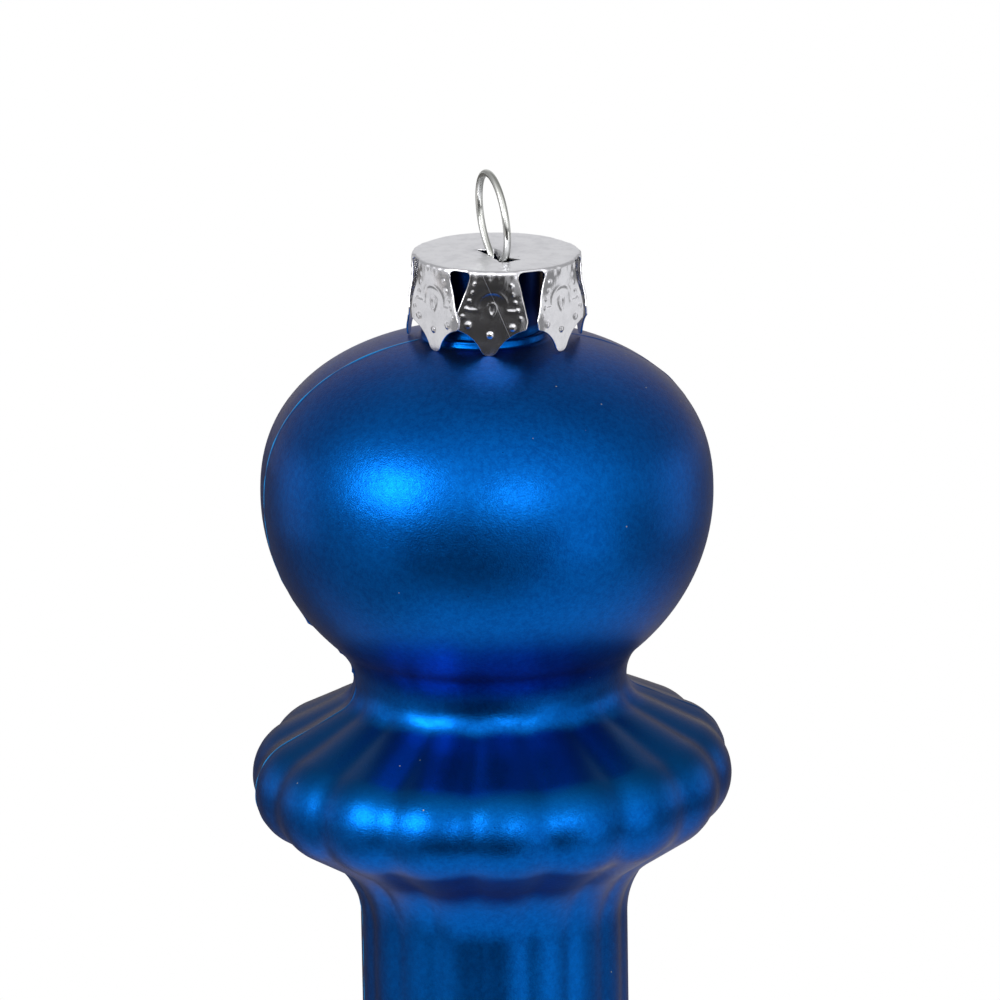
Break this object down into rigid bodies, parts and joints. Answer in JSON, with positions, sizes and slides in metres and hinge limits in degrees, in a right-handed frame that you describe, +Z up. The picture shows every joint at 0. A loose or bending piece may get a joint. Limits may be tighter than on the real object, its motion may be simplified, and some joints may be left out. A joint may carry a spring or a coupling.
{
  "type": "hanging finial ornament",
  "caption": "Blow-moulded finial bauble: smooth onion bulb over a fluted ring, column and spire, with a stamped petal cap and a wire hanging loop.",
  "frame": {"origin": "inside of the crown of the wire hanging loop, on the body's axis, where a hook or ribbon carries the ornament", "axes": "+Z up along the body's axis, out through the hanging loop; +X to the right and -Y toward the viewer, as in the picture"},
  "size_m": [0.0572, 0.0574, 0.18],
  "materials": {
    "shell_blue": "satin metallised blue lacquer on blow-moulded plastic",
    "cap_silver": "bright stamped sheet with a fine haze and small scratches",
    "hanger_wire": "plain drawn galvanised wire"
  },
  "bodies": {
    "root": {"shell": "shell_blue", "cap": "cap_silver", "hanger": "hanger_wire"}
  },
  "joints": []
}
